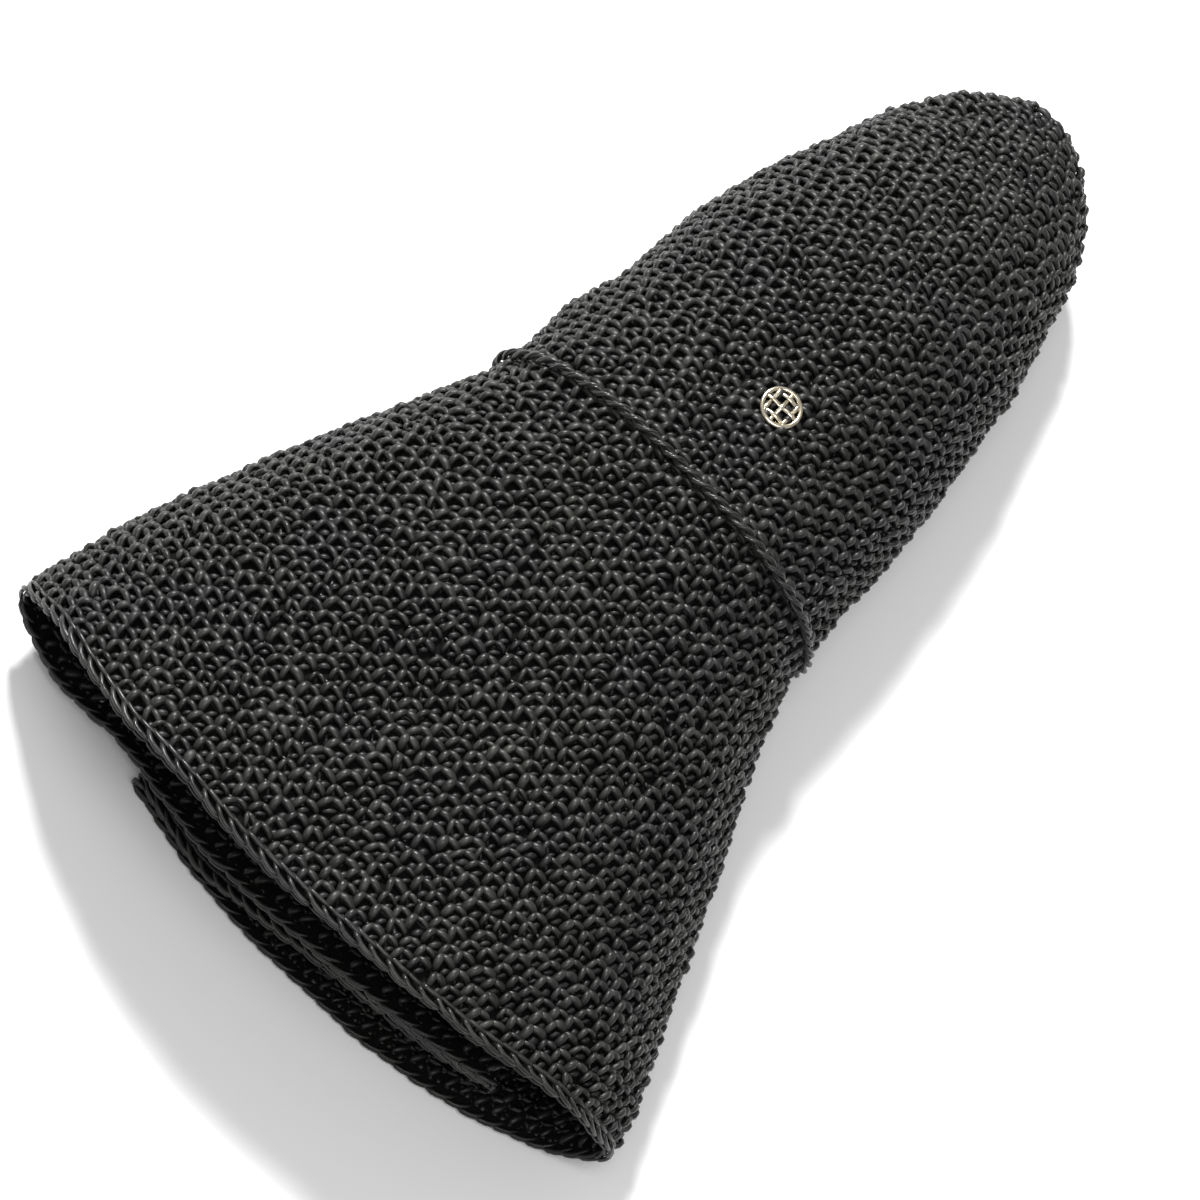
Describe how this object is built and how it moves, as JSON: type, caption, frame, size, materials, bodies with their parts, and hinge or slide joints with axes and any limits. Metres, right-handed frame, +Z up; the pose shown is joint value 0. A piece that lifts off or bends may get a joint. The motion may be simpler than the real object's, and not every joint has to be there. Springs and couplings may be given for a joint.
{
  "type": "packable crocheted raffia sun hat",
  "caption": "Black crocheted raffia sun hat with tall crown and wide brim, pleated along its back and flattened for packing, with twisted band cord and small metal badge.",
  "frame": {"origin": "on the surface the hat lies on, under the middle of its length and width", "axes": "+Y from the open mouth of the folded brim to the crown's tip, +Z up through the hat's front, +X across"},
  "size_m": [0.2722, 0.405, 0.0786],
  "materials": {
    "raffia": "dyed crocheted raffia, slightly glossy",
    "cord": "twisted raffia, glossy strands",
    "thread": "waxed thread",
    "grosgrain": "ribbed ribbon",
    "label": "woven satin tab, bare",
    "badge_metal": "pale gold plate, polished",
    "plate_metal": "plain"
  },
  "bodies": {
    "root": {"brim": "raffia", "rim_edging": "raffia", "crown_side": "raffia", "crown_tip": "raffia", "band_cord": "cord", "cord_whipping": "thread", "sweatband": "grosgrain", "blank_label": "label", "badge_face": "badge_metal", "badge_posts": "badge_metal", "badge_backplate": "plate_metal"}
  },
  "joints": []
}
